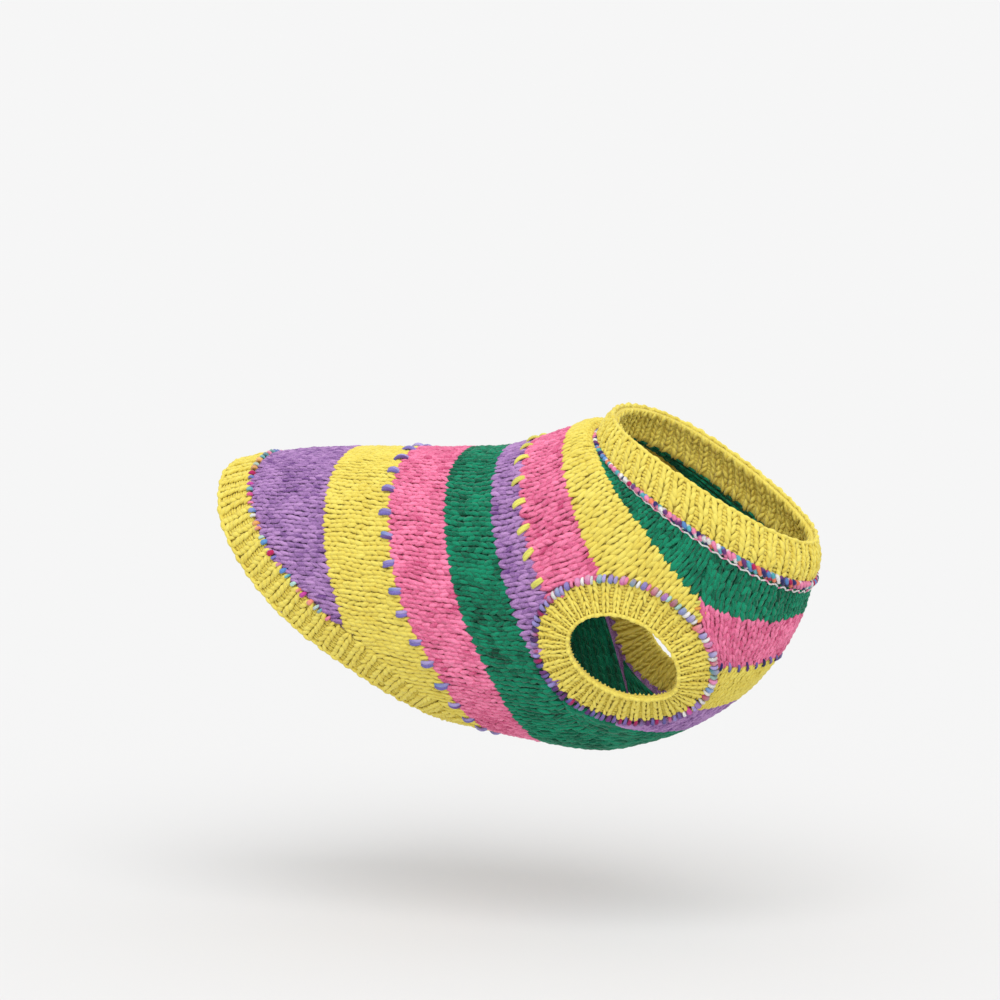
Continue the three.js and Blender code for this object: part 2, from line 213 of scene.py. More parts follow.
# How far a point lies from the arm opening's oval: under 1 is inside. The oval doesn't reach the belly's middle.
def armReach(points):
    dx = points[..., 0] / mm - armOpening["x"]
    dz = points[..., 2] / mm - armOpening["z"]
    c = math.cos(armOpening["tilt"])
    s = math.sin(armOpening["tilt"])
    u = (dx * c + dz * s) / armOpening["halfLength"]
    v = (-dx * s + dz * c) / armOpening["halfHeight"]
    middle = np.abs(points[..., 1]) < armOpening["fromMiddle"] * mm
    return np.where(middle, armOpening["farReach"], np.hypot(u, v))


def shoulderX(z):
    return np.interp(z, [p[1] for p in shoulderSeam], [p[0] for p in shoulderSeam])


def seamX(points):
    return shoulderX(points[..., 2] / mm)


# A point of the body, and how it moves with the place and with the angle
def bodySlopes(place, angle):
    small = 1e-3
    p = bodyPoints(place, angle)
    return p, (bodyPoints(place + small, angle) - p) / small, (bodyPoints(place, angle + small) - p) / small


# Place and angle of the side's point at x and z, from a first guess on the flank
search = {"place": 75.0, "angle": math.radians(105), "steps": 30, "placeStep": 4, "angleStep": 0.2}


def surfaceAt(x, z):
    place = np.full(np.shape(x), search["place"])
    angle = np.full(np.shape(x), search["angle"])
    for _ in range(search["steps"]):
        p, alongPlace, alongAngle = [v / mm for v in bodySlopes(place, angle)]
        dx = x - p[..., 0]
        dz = z - p[..., 2]
        area = alongPlace[..., 0] * alongAngle[..., 2] - alongAngle[..., 0] * alongPlace[..., 2]
        placeStep = (dx * alongAngle[..., 2] - alongAngle[..., 0] * dz) / area
        angleStep = (alongPlace[..., 0] * dz - dx * alongPlace[..., 2]) / area
        place = place + np.clip(placeStep, -search["placeStep"], search["placeStep"])
        angle = angle + np.clip(angleStep, -search["angleStep"], search["angleStep"])
    return place, angle


# Points reached by walking square to a closed curve over the body
def bandPoints(startPlace, startAngle, lengths, side):
    rows = {0.0: bodyPoints(startPlace, startAngle)}
    run = unit(np.roll(rows[0.0], -1, 0) - np.roll(rows[0.0], 1, 0))
    for direction in (1, -1):
        place = startPlace.copy()
        angle = startAngle.copy()
        before = 0.0
        for length in sorted([v for v in lengths if v * direction > 0], key=abs):
            _, alongPlace, alongAngle = bodySlopes(place, angle)
            normal = unit(-np.cross(alongPlace, alongAngle))
            across = unit(np.cross(run, normal)) * side * (length - before) * mm
            aa = (alongPlace**2).sum(-1)
            ar = (alongPlace * alongAngle).sum(-1)
            rr = (alongAngle**2).sum(-1)
            wantPlace = (across * alongPlace).sum(-1)
            wantAngle = (across * alongAngle).sum(-1)
            area = aa * rr - ar**2
            place = place + (wantPlace * rr - wantAngle * ar) / area
            angle = angle + (wantAngle * aa - wantPlace * ar) / area
            rows[length] = bodyPoints(place, angle)
            before = length
    return np.array([rows[v] for v in lengths])


# Bands are surfaces over width, 0 at the seam and 1 at the free edge, and share of the turn.
# Their columns of points are even in length and run a little past both ends of the turn.
bandWidths = np.linspace(-0.3, 1.1, 57)
bandWidths[np.argmin(np.abs(bandWidths))] = 0.0
bandColumns = 480
bandPad = 20
turnSteps = np.linspace(0, 2 * math.pi, 721)
bands = {
    "neck": {"width": 17.5, "ribs": 46, "courses": 6, "thick": 2.2, "furrow": -0.25, "bulge": 1.6},
    "hem": {"width": 17.5, "ribs": 58, "courses": 6, "thick": 1.5, "furrow": -0.5},
    "arm": {"width": 16.0, "ribs": 38, "courses": 5, "thick": 1.5, "furrow": -0.45, "lift": 2.0},
}


def evenCurve(place, angle):
    lengths = runLengths(bodyPoints(place, angle))
    want = np.linspace(0, lengths[-1], bandColumns + 1)[:-1]
    return np.interp(want, lengths, place), np.interp(want, lengths, angle), lengths[-1]


def closeBand(points, swell, centre):
    points = np.concatenate([points[:, -bandPad:], points, points[:, :bandPad + 1]], axis=1)
    past = bandPad / bandColumns
    shares = np.linspace(-past, 1 + past, bandColumns + 2 * bandPad + 1)
    flat = makeSurface(bandWidths, shares, points, centre)
    lifted, _ = flat(bandWidths[:, None], shares[None, :], swell[:, None] * mm + 0 * shares)
    return makeSurface(bandWidths, shares, lifted, centre)


def makeBand(place, angle, width, side, swell, centre):
    evenPlace, evenAngle, girth = evenCurve(place, angle)
    points = bandPoints(evenPlace, evenAngle, [float(w) * width for w in bandWidths], side)
    return closeBand(points, swell, centre), girth


def makeNeckBand():
    seam = bodyForm["collarSeam"]
    _, even, girth = evenCurve(seam + 0 * turnSteps, turnSteps)
    places = seam + bandWidths * (bodyForm["collarRim"] - seam)
    swell = bands["neck"]["bulge"] * np.sin(np.clip(bandWidths, 0, 1) * math.pi)
    return closeBand(bodyPoints(places[:, None], even[None, :]), swell, (0.12, 0, -0.02)), girth


neckRead, neckGirth = makeNeckBand()
hemRead, hemGirth = makeBand(lineAt("hem", turnSteps), turnSteps, bands["hem"]["width"], 1, 0 * bandWidths,
                             (-0.05, 0, -0.06))
armSwell = bands["arm"]["lift"] * np.clip(bandWidths, 0, 2)**2
armRead, armGirth = makeBand(*surfaceAt(*armOutline(turnSteps)), bands["arm"]["width"], -1, armSwell,
                             (0.08, 0, -0.07))
print("forms: collar, hem and arm girth in mm", [round(v / mm) for v in (neckGirth, hemGirth, armGirth)])


# Camera of the photograph: a little in front of the side and a little above
view = {"azimuth": math.radians(20), "height": math.radians(7), "distance": 2.4, "frameWidth": 0.5,
        "pixels": 1000, "originPixel": (484, 448), "originZ": 0.003, "sensor": 36}


def addCamera():
    back = np.array([math.sin(view["azimuth"]) * math.cos(view["height"]),
                     -math.cos(view["azimuth"]) * math.cos(view["height"]), math.sin(view["height"])])
    right = np.array([math.cos(view["azimuth"]), math.sin(view["azimuth"]), 0])
    up = np.cross(back, right)
    pixel = view["frameWidth"] / view["pixels"]
    aside, below = [view["pixels"] / 2 - v for v in view["originPixel"]]
    target = np.array([0, 0, view["originZ"]]) + aside * pixel * right - below * pixel * up
    data = bpy.data.cameras.new("photoView")
    data.sensor_width = view["sensor"]
    data.lens = view["sensor"] * view["distance"] / view["frameWidth"]
    data.clip_end = 200
    camera = bpy.data.objects.new("photoView", data)
    turned = np.eye(4)
    turned[:3, 0] = right
    turned[:3, 1] = up
    turned[:3, 2] = back
    turned[:3, 3] = target + back * view["distance"]
    camera.matrix_world = Matrix(turned.tolist())
    bpy.context.scene.collection.objects.link(camera)
    bpy.context.scene.camera = camera


addCamera()
print("camera set")

light = {"floorZ": -0.234, "floorSize": 80.0, "floorColour": (0.725, 0.725, 0.725, 1),
         "worldStrength": 0.895, "sunStrength": 1.5, "sunSoftness": math.radians(50),
         "fromRight": 0.05, "fromFront": 0.62, "fromAbove": 0.80}


def addStudio():
    scene = bpy.context.scene
    scene.view_settings.view_transform = "Standard"
    world = bpy.data.worlds.new("studio")
    world.use_nodes = True
    background = world.node_tree.nodes["Background"]
    background.inputs["Color"].default_value = (1, 1, 1, 1)
    background.inputs["Strength"].default_value = light["worldStrength"]
    scene.world = world
    data = bpy.data.lights.new("softKey", "SUN")
    data.energy = light["sunStrength"]
    data.angle = light["sunSoftness"]
    sun = bpy.data.objects.new("softKey", data)
    turn = view["azimuth"]
    toLight = Vector((math.cos(turn), math.sin(turn), 0)) * light["fromRight"]
    toLight += Vector((math.sin(turn), -math.cos(turn), 0)) * light["fromFront"]
    toLight += Vector((0, 0, light["fromAbove"]))
    sun.rotation_euler = toLight.to_track_quat("Z", "Y").to_euler()
    scene.collection.objects.link(sun)
    mesh = bpy.data.meshes.new("studioFloor")
    half = light["floorSize"] / 2
    corners = [(x * half, y * half, light["floorZ"]) for x, y in ((-1, -1), (1, -1), (1, 1), (-1, 1))]
    mesh.from_pydata(corners, [], [(0, 1, 2, 3)])
    floor = bpy.data.objects.new("studioFloor", mesh)
    scene.collection.objects.link(floor)
    material = bpy.data.materials.new("palePaper")
    material.use_nodes = True
    shader = material.node_tree.nodes["Principled BSDF"]
    shader.inputs["Base Color"].default_value = light["floorColour"]
    shader.inputs["Roughness"].default_value = 1.0
    shader.inputs["Specular IOR Level"].default_value = 0.0
    mesh.materials.append(material)


addStudio()
print("studio set")

# Yarn dyes, linear colour: the lit yarn, which carries painted highlights, and the painted shade colour for
# between its fibres
dyes = {
    "yellow": {"lit": (0.82, 0.70, 0.14), "paintedShade": (0.70, 0.55, 0.08)},
    "purple": {"lit": (0.50, 0.28, 0.57), "paintedShade": (0.14, 0.05, 0.22)},
    "pink": {"lit": (0.92, 0.25, 0.43), "paintedShade": (0.50, 0.05, 0.15)},
    "green": {"lit": (0.006, 0.26, 0.135), "paintedShade": (0.001, 0.045, 0.022)},
}
yarnDepth = {"yellow": 0.55, "purple": 1.0, "pink": 1.0, "green": 1.0}    # how strongly the fibres stand out
yarnShader = {"Roughness": 0.92, "Sheen Weight": 0.15, "Sheen Roughness": 0.5, "Specular IOR Level": 0.15}
# Scales of the noise, strength and distance of each bump, and the noise levels of the painted shade and lit yarn
# colours;
# threadShadow darkens a sewing yarn's dye into its painted shade
yarnLook = {"fibreScale": 1900.0, "patchScale": 70.0, "strandScale": 2.0, "strandStretch": (0.9, 3.5, 1),
            "strandSpread": 57.0, "fibreBump": (0.45, 0.0004), "strandBump": (0.6, 0.0005),
            "purlBump": (0.7, 0.0007), "levels": (1.25, 2.2), "threadShadow": (0.5, 0.5, 0.55, 1)}


# A shader node with its own settings, and its inputs set to values or linked to other nodes' outputs
def addNode(tree, kind, inputs, **settings):
    node = tree.nodes.new("ShaderNode" + kind)
    for name, value in settings.items():
        setattr(node, name, value)
    for name, value in inputs.items():
        if isinstance(value, bpy.types.NodeSocket):
            tree.links.new(value, node.inputs[name])
        else:
            node.inputs[name].default_value = value
    return node


def addNoise(tree, vector, scale, detail):
    return addNode(tree, "TexNoise", {"Vector": vector, "Scale": scale, "Detail": detail}).outputs["Fac"]


def addMath(tree, operation, *values):
    return addNode(tree, "Math", dict(enumerate(values)), operation=operation).outputs[0]


def addBump(tree, bump, share, height, below=None):
    inputs = {"Strength": bump[0] * share, "Distance": bump[1], "Height": height}
    if below:
        inputs["Normal"] = below
    return addNode(tree, "Bump", inputs).outputs["Normal"]


# Spun wool: streaks of fibre along the yarn, painted lighter and darker as painted highlights and painted shade,
# fine fuzz, slightly uneven dye and a change from stitch to stitch. Without a dye, the colour comes from each
# stitch, and its painted shade is that colour darkened by threadShadow.
def makeYarn(name, dye=None, strands=True, depthShare=1.0):
    material = bpy.data.materials.new(name)
    material.use_nodes = True
    tree = material.node_tree
    shader = tree.nodes["Principled BSDF"]
    for key, value in yarnShader.items():
        shader.inputs[key].default_value = value
    place = addNode(tree, "TexCoord", {}).outputs["Object"]
    fibres = addNoise(tree, place, yarnLook["fibreScale"], 1.0)
    patches = addNoise(tree, place, yarnLook["patchScale"], 2.0)
    shade = addNode(tree, "Attribute", {}, attribute_name="shade").outputs["Fac"]
    streaks = fibres
    if strands:
        along = addNode(tree, "UVMap", {}, uv_map="along").outputs["UV"]
        stretch = addNode(tree, "Mapping", {"Vector": along, "Scale": yarnLook["strandStretch"]}).outputs["Vector"]
        spun = addMath(tree, "MULTIPLY", shade, yarnLook["strandSpread"])
        spread = addNode(tree, "CombineXYZ", {"X": spun, "Z": spun}).outputs["Vector"]
        shifted = addNode(tree, "VectorMath", {0: stretch, 1: spread}, operation="ADD").outputs["Vector"]
        streaks = addNoise(tree, shifted, yarnLook["strandScale"], 1.0)
    total = addMath(tree, "ADD", streaks, fibres)
    depth = addMath(tree, "ADD", addMath(tree, "ADD", total, patches), shade)
    darkest, lightest = yarnLook["levels"]
    level = addNode(tree, "MapRange", {"Value": depth, "From Min": darkest, "From Max": lightest}).outputs[0]
    if dye:
        paintedShade = (*dye["paintedShade"], 1)
        lit = (*dye["lit"], 1)
    else:
        lit = addNode(tree, "Attribute", {}, attribute_name="dye").outputs["Color"]
        paintedShade = addNode(tree, "Mix", {"Factor": 1.0, "A": lit, "B": yarnLook["threadShadow"]},
                       data_type="RGBA", blend_type="MULTIPLY").outputs["Result"]
    # Noise mixes the painted shade colour into the lit colour: painted shade between the fibres and painted
    # highlights on them
    blend = addNode(tree, "Mix", {"Factor": level, "A": paintedShade, "B": lit}, data_type="RGBA")
    tree.links.new(blend.outputs["Result"], shader.inputs["Base Color"])
    normal = addBump(tree, yarnLook["fibreBump"], depthShare, fibres)
    if strands:
        normal = addBump(tree, yarnLook["strandBump"], depthShare, streaks, normal)
    tree.links.new(normal, shader.inputs["Normal"])
    return material


yarns = {name: makeYarn(name + "Wool", dye, depthShare=yarnDepth[name]) for name, dye in dyes.items()}
yarns["sewing"] = makeYarn("mixedThread")


# The wrong side of the knitting: rows of low bumps across the sheet, under the purl arcs
def makePurl(name, dye):
    material = makeYarn(name, dye, strands=False)
    tree = material.node_tree
    normal = tree.nodes["Principled BSDF"].inputs["Normal"]
    grid = addNode(tree, "UVMap", {}, uv_map="grid").outputs["UV"]
    rows = addNode(tree, "SeparateXYZ", {0: grid}).outputs["Y"]
    wave = addMath(tree, "COSINE", addMath(tree, "MULTIPLY", rows, 4 * math.pi))
    tree.links.new(addBump(tree, yarnLook["purlBump"], 1.0, wave, normal.links[0].from_socket), normal)
    return material


purlFinish = {name: makePurl(name + "Purl", dye) for name, dye in dyes.items()}
print("yarns dyed")


def linkObject(name, mesh, materials):
    for material in materials:
        mesh.materials.append(material)
    piece = bpy.data.objects.new(name, mesh)
    bpy.context.scene.collection.objects.link(piece)
    return piece


def setShade(mesh, values):
    mesh.attributes.new("shade", "FLOAT", "POINT").data.foreach_set("value", values)


# Many short lengths of yarn as one mesh on the body. Of the parts, centres and normals are
# (grain, step, 3), and across and up are the half thicknesses (grain, step).
def layYarn(name, parts, yarn, shade, dyeColours=None, sides=6):
    centres, normals, across, up = parts
    grains, steps, _ = centres.shape
    tangents = unit(np.gradient(centres, axis=1))
    sideways = unit(np.cross(normals, tangents))
    lift = np.cross(tangents, sideways)
    turn = np.arange(sides) / sides * 2 * math.pi + math.pi / 2
    ring = (sideways[:, :, None] * (np.cos(turn)[:, None] * across[:, :, None, None])
            + lift[:, :, None] * (np.sin(turn)[:, None] * up[:, :, None, None]))
    rings = (centres[:, :, None] + ring).reshape(grains, steps * sides, 3)
    tips = [centres[:, 0] - tangents[:, 0] * up[:, :1], centres[:, -1] + tangents[:, -1] * up[:, -1:]]
    points = np.concatenate([rings, np.stack(tips, 1)], axis=1)
    perGrain = steps * sides + 2
    last = steps - 1
    corners = []
    uvs = []

    def at(i, j):
        return i / last, j / sides

    for i, j in np.ndindex(last, sides):
        k = (j + 1) % sides
        corners += [i * sides + j, i * sides + k, (i + 1) * sides + k, (i + 1) * sides + j]
        uvs += [at(i, j), at(i, j + 1), at(i + 1, j + 1), at(i + 1, j)]
    for j in range(sides):
        k = (j + 1) % sides
        corners += [steps * sides, k, j, steps * sides + 1, last * sides + j, last * sides + k]
        uvs += [at(0, j + 0.5), at(0, j + 1), at(0, j), at(last, j + 0.5), at(last, j), at(last, j + 1)]
    sizes = [4] * (last * sides) + [3] * (2 * sides)
    loops = (np.array(corners)[None, :] + perGrain * np.arange(grains)[:, None]).ravel()
    counts = np.tile(sizes, grains)
    mesh = bpy.data.meshes.new(name)
    mesh.vertices.add(grains * perGrain)
    mesh.vertices.foreach_set("co", points.ravel())
    mesh.loops.add(len(loops))
    mesh.loops.foreach_set("vertex_index", loops)
    mesh.polygons.add(len(counts))
    mesh.polygons.foreach_set("loop_start", np.concatenate([[0], np.cumsum(counts)[:-1]]))
    mesh.polygons.foreach_set("loop_total", counts)
    mesh.polygons.foreach_set("use_smooth", np.ones(len(counts), bool))
    layer = mesh.uv_layers.new(name="along")
    layer.data.foreach_set("uv", np.tile(np.array(uvs, float).ravel(), grains))
    mesh.update(calc_edges=True)
    setShade(mesh, np.repeat(shade, perGrain))
    if dyeColours is not None:
        dyed = mesh.attributes.new("dye", "FLOAT_COLOR", "POINT")
        onRings = np.repeat(dyeColours, sides, axis=1)
        full = np.ones((grains, perGrain, 4))
        full[:, :, :3] = np.concatenate([onRings, dyeColours[:, :1], dyeColours[:, -1:]], axis=1)
        dyed.data.foreach_set("color", full.ravel())
    piece = linkObject(name, mesh, [yarns[yarn]])
    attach(piece, "root")
    return piece


rand = np.random.default_rng(7)

# One strand of a knitted V, in stitches: along the course (0 to 1 is its own row), sideways from the wale's
# middle, height above the sheet in millimetres and share of the full thickness
strandShape = {
    "along": np.array((-0.30, 0.08, 0.50, 0.95, 1.36)),
    "side": np.array((0.12, 0.165, 0.24, 0.315, 0.36)),
    "height": np.array((-0.50, 0.08, 0.30, 0.02, -0.62)),
    "thick": np.array((0.55, 0.92, 1.0, 0.92, 0.50)),
}
stitchSize = {"halfWidth": 0.25, "halfHeight": 0.95, "mostRise": 0.22, "drift": 0.07, "slant": 0.35,
              "fatness": 0.10, "lift": 0.13, "tone": 0.35, "shade": 0.16, "wobble": 0.10, "sides": 5}
# How the strands of flat knitting lie: reach along and across, pivot of the slant, stray and wander
flatStrands = {"rowReach": 1.0, "sideReach": 1.0, "pivot": 0.23, "stray": 0.5, "height": 1.0, "wander": 1.0,
               "wanderRows": 1.0}


# Slow wander of the wales, so that no two run quite straight
def wander(row, wale):
    wave = np.sin(0.55 * row + 1.9 * wale) + np.sin(0.31 * row - 0.83 * wale + 1.3)
    return stitchSize["wobble"] * (wave + np.sin(1.07 * row + 0.47 * wale)) / 1.5


def uneven(count):
    return 1 + rand.normal(0, stitchSize["fatness"], (count, 1))


def stitchGrid(rows, wales):
    return [v.ravel().astype(float) for v in np.meshgrid(np.arange(rows), np.arange(wales), indexing="ij")]


def joined(parts):
    return [np.concatenate(column) for column in zip(*parts)]


# Stitches of a grid that lie on the piece.
# mapping(row, wale, height) gives the position, clip says which stay.
def keptStitches(mapping, rows, wales, clip):
    row, wale = stitchGrid(rows, wales)
    middle, _ = mapping(row + 0.5, wale + 0.5, 0.0)
    keep = clip(middle, row + 0.5, wale + 0.5)
    return row[keep], wale[keep]


# One hand of every stitch's V: its points, normals and the width of its wale
def layHand(mapping, row, middle, hand, form, lift=0.0, lastRow=math.inf):
    drift = rand.normal(0, stitchSize["drift"], (len(row), 2))
    slant = 1 + rand.normal(0, stitchSize["slant"], (len(row), 1))
    r = np.minimum(row[:, None] + strandShape["along"] * form["rowReach"] + drift[:, :1], lastRow)
    side = form["pivot"] + (strandShape["side"] * form["sideReach"] - form["pivot"]) * slant
    w = middle[:, None] + hand * side + drift[:, 1:] * form["stray"]
    w = w + form["wander"] * wander(r * form["wanderRows"], w)
    rise = strandShape["height"] * form["height"] + lift + rand.normal(0, stitchSize["lift"], (len(row), 1))
    p, n = mapping(r, w, rise * mm)
    q, _ = mapping(r, w + 0.5, rise * mm)
    return p, n, np.linalg.norm(q - p, axis=-1) * 2


def knitStrands(mapping, row, wale):
    hands = [layHand(mapping, row, wale + 0.5, hand, flatStrands) for hand in (-1, 1)]
    centres, normals, waleWidth = joined(hands)
    fat = strandShape["thick"] * uneven(len(centres))
    across = stitchSize["halfWidth"] * waleWidth * fat
    up = np.minimum(stitchSize["halfHeight"] * mm, waleWidth * stitchSize["mostRise"]) * fat
    return centres, normals, across, up, rand.normal(stitchSize["tone"], stitchSize["shade"], len(centres))


# The wrong side: the head of each stitch stands as an arc towards the inside
purlShape = {"reach": (-0.12, 1.12), "steps": 4, "row": 0.30, "rise": 0.42, "sink": 0.35, "lift": 0.9,
             "endThick": 0.6, "halfWidth": 0.85, "halfHeight": 0.7, "tone": 0.3, "shade": 0.12, "sides": 4}


def purlArcs(mapping, row, wale):
    arch = np.sin(np.linspace(0, math.pi, purlShape["steps"]))
    drift = rand.normal(0, stitchSize["drift"], (len(row), 2))
    r = row[:, None] + purlShape["row"] + purlShape["rise"] * arch + drift[:, :1]
    w = wale[:, None] + np.linspace(*purlShape["reach"], purlShape["steps"])
    w = w + drift[:, 1:] * flatStrands["stray"]
    w = w + wander(r, w)
    depth = sheetForm["inner"] + purlShape["sink"] - purlShape["lift"] * arch
    p, n = mapping(r, w, depth * mm + 0 * r)
    thick = (purlShape["endThick"] + (1 - purlShape["endThick"]) * arch) * uneven(len(row)) * mm
    shade = rand.normal(purlShape["tone"], purlShape["shade"], len(row))
    return p, -n, purlShape["halfWidth"] * thick, purlShape["halfHeight"] * thick, shade


sheetForm = {"outer": -1.0, "inner": -2.6, "tuck": -1.75, "tuckInner": -2.05, "tuckLength": 0.9}
waleCount = 84
# Stripes of each panel: yarn, first and last line, and rows of stitches
panels = {
    "rear_panel": {"stripes": (("purple", "tail", "purpleYellow", 15),
                               ("yellow", "purpleYellow", "blueSeam", 10))},
    "middle_panel": {"stripes": (("pink", "blueSeam", "pinkGreen", 8),
                                 ("green", "pinkGreen", "greenPurple", 7),
                                 ("purple", "greenPurple", "yellowSeam", 4))},
    "yoke_panel": {"stripes": (("pink", "yellowSeam", "backPinkYellow", 7),
                               ("yellow", "backPinkYellow", "backYellowGreen", 6),
                               ("green", "backYellowGreen", "collarSeam", 5))},
    "chest_panel": {"stripes": (("green", "belly", "chestGreenPurple", 7),
                                ("purple", "chestGreenPurple", "chestPurpleYellow", 6),
                                ("yellow", "chestPurpleYellow", "chestSeam", 9)), "wales": 20},
    "bib_panel": {"stripes": (("pink", "chestSeam", "bibPinkGreen", 8),
                              ("green", "bibPinkGreen", "collarSeam", 7)), "wales": 24},
}
armEdgeAngle = 122    # degrees from the spine where the arm openings part the tube from the chest


# Place and angle of stitches on the tube, whose wales share each loop out evenly
def tubeSpot(first, last, rows, row, wale, guess):
    share = wale / waleCount
    angle = shareAngle(guess, share)
    for _ in range(2):
        place = placeBetween(first, last, angle, row, rows)
        angle = shareAngle(place, share)
    return place, angle


def tubeMapping(first, last, rows):
    guess = 0.5 * (lineRows[first][3] + lineRows[last][3])

    def mapping(row, wale, height):
        return bodyRead(*tubeSpot(first, last, rows, row, wale, guess), height)
    return mapping


# Chest and bib fan out from the belly: their wales lie between two edge lines that mirror each other
fanEdges = {"chest_panel": ((61, 66, 72, 82), (126, 148, 151, 143)),
            "bib_panel": ((79, 82, 85, 88, 91, 100), (146, 140, 128, 120, 115.5, 112))}


def fanMapping(panel, first, last, rows, wales):
    edgePlaces, edgeAngles = fanEdges[panel]

    def mapping(row, wale, height):
        share = wale / wales
        angle = np.radians(135 + 90 * share) + 0 * row
        for _ in range(3):
            place = placeBetween(first, last, angle, row, rows)
            edge = np.radians(np.interp(place, edgePlaces, edgeAngles))
            angle = edge + (2 * math.pi - 2 * edge) * share
        return bodyRead(place, angle, height)
    return mapping


def panelClip(panel, first, last, rows):
    def clip(points, row, wale):
        keep = armReach(points) > 1.01
        x = points[:, 0] / mm
        place, angle = tubeSpot(first, last, rows, row, wale, 50.0)
        if panel == "rear_panel":
            keep &= place > lineAt("hem", angle) + 0.3
        if panel == "middle_panel":
            low = fromSpine(angle) > math.radians(armEdgeAngle)
            keep &= ~(low & (place > bodyForm["bellySeam"]))
        if panel == "yoke_panel":
            keep &= (x < seamX(points) - 0.5) & (points[:, 2] > -0.1)
        if panel == "bib_panel":
            keep &= x > seamX(points) + 0.5
        return keep
    return clip


stitched = {}
for panel, plan in panels.items():
    stitched[panel] = []
    wales = plan.get("wales", waleCount)
    for colour, first, last, rows in plan["stripes"]:
        if "wales" in plan:
            mapping = fanMapping(panel, first, last, rows, wales)
        else:
            mapping = tubeMapping(first, last, rows)
        row, wale = keptStitches(mapping, rows, wales, panelClip(panel, first, last, rows))
        stripe = panel.replace("_panel", "") + "_" + colour
        for face, makeParts, shape in (("_stitches", knitStrands, stitchSize), ("_purls", purlArcs, purlShape)):
            *parts, shade = makeParts(mapping, row, wale)
            stitched[panel].append(layYarn(stripe + face, parts, colour, shade, sides=shape["sides"]))
        print("knitted", stripe, len(row), "stitches")


# Ribbed bands: raised wales of knit stitches with purl bumps in the furrows, and a looped free edge
ribStrandForm = {"rowReach": 0.95, "sideReach": 0.80, "pivot": 0.15, "stray": 0.4, "height": 0.8, "wander": 0.35,
                 "wanderRows": 0.8}
ribShape = {"knitHeight": 0.40, "insideDrop": 0.4, "lastRow": 0.12, "halfWidth": 0.165, "halfHeight": 0.95,
            "mostRise": 0.2}
ribPurl = {"rows": (0.25, 0.75), "insideFurrow": -0.5, "reach": 0.29, "arch": 0.5, "rowArch": 0.12,
           "rowStray": 0.05, "sideStray": 0.03, "endThick": 0.7, "halfWidth": 0.95, "halfHeight": 0.8}
ribLoop = {"from": -0.27, "to": 0.33, "furrowArch": 0.5, "sideStray": 0.02, "out": 0.016, "outStray": 0.005,
           "height": 0.9, "sink": 0.15, "endThick": 0.75, "half": 1.15}


def insideOf(read, thick):
    def inner(width, share, height=0.0):
        p, n = read(width, share, (sheetForm["outer"] - thick) * mm - height)
        return p, -n
    return inner


# rest is where the raised wales lie between two furrows, in ribs: 0.5 outside and 0 inside
def ribStrands(read, form, lift, rest):
    row, rib = stitchGrid(form["courses"], form["ribs"])
    parts = []
    for hand in (-1, 1):
        p, n, pitch = layHand(lambda r, w, rise: read(r / form["courses"], w / form["ribs"], rise), row,
                              rib + rest, hand, ribStrandForm, lift, form["courses"] + ribShape["lastRow"])
        fat = strandShape["thick"] * uneven(len(row))
        up = np.minimum(ribShape["halfHeight"] * mm, ribShape["mostRise"] * pitch)
        parts.append((p, n, ribShape["halfWidth"] * pitch * fat, up * fat))
    return joined(parts)


def ribPurls(read, form, depth, rest):
    row, rib = stitchGrid(form["courses"], form["ribs"])
    side = np.linspace(-1, 1, 5)
    arch = np.cos(side * math.pi / 2)
    rise = (depth + ribPurl["arch"] * (arch - 1)) * mm
    thick = (ribPurl["endThick"] + (1 - ribPurl["endThick"]) * arch) * mm
    parts = []
    for half in ribPurl["rows"]:
        r = row[:, None] + half + ribPurl["rowArch"] * arch + rand.normal(0, ribPurl["rowStray"], (len(row), 1))
        w = rib[:, None] + rest + side * ribPurl["reach"] + rand.normal(0, ribPurl["sideStray"], (len(row), 1))
        p, n = read(r / form["courses"], w / form["ribs"], rise + 0 * r)
        parts.append((p, n, ribPurl["halfWidth"] * thick + 0 * r, ribPurl["halfHeight"] * thick + 0 * r))
    return joined(parts)


# Cast-off loops along the free edge: a low one over each furrow, a plump one over each rib
def ribEdge(read, ribs):
    number = np.arange(2 * ribs, dtype=float)[:, None]
    arch = np.sin(np.linspace(0, math.pi, 5)) * np.where(number % 2 == 1, 1.0, ribLoop["furrowArch"])
    side = np.linspace(ribLoop["from"], ribLoop["to"], 5)
    side = side + rand.normal(0, ribLoop["sideStray"], (2 * ribs, 1))
    width = 1.0 + ribLoop["out"] * arch + rand.normal(0, ribLoop["outStray"], (2 * ribs, 1))
    p, n = read(width, (number / 2 + side) / ribs, (ribLoop["height"] * arch - ribLoop["sink"]) * mm)
    thick = (ribLoop["endThick"] + (1 - ribLoop["endThick"]) * arch) * uneven(2 * ribs)
    return [p, n, ribLoop["half"] * mm * thick, ribLoop["half"] * mm * thick]


def leftArmRead(width, share, height=0.0):
    p, n = armRead(width, share, height)
    return p * (1, -1, 1), n * (1, -1, 1)


bandReads = {"neck_rib": ("neck", neckRead), "hem_rib": ("hem", hemRead),
             "armhole_rib_right": ("arm", armRead), "armhole_rib_left": ("arm", leftArmRead)}
ribbed = {}
for node, (kind, read) in bandReads.items():
    form = bands[kind]
    inside = insideOf(read, form["thick"])
    outer = ribStrands(read, form, ribShape["knitHeight"], 0.5)
    edge = ribEdge(read, form["ribs"])
    inner = ribStrands(inside, form, ribShape["insideDrop"], 0.0)
    purls = ribPurls(read, form, form["furrow"], 0.0)
    if kind == "neck":
        inner = joined([inner, ribPurls(inside, form, ribPurl["insideFurrow"], 0.5)])
    ribbed[node] = []
    for face, parts, sides in (("_ribs", joined([outer, edge]), 6), ("_furrows", purls, 4), ("_inside", inner, 4)):
        shade = rand.normal(stitchSize["tone"], stitchSize["shade"], len(parts[0]))
        ribbed[node].append(layYarn(node + face, parts, "yellow", shade, sides=sides))
print("ribbed bands knitted")

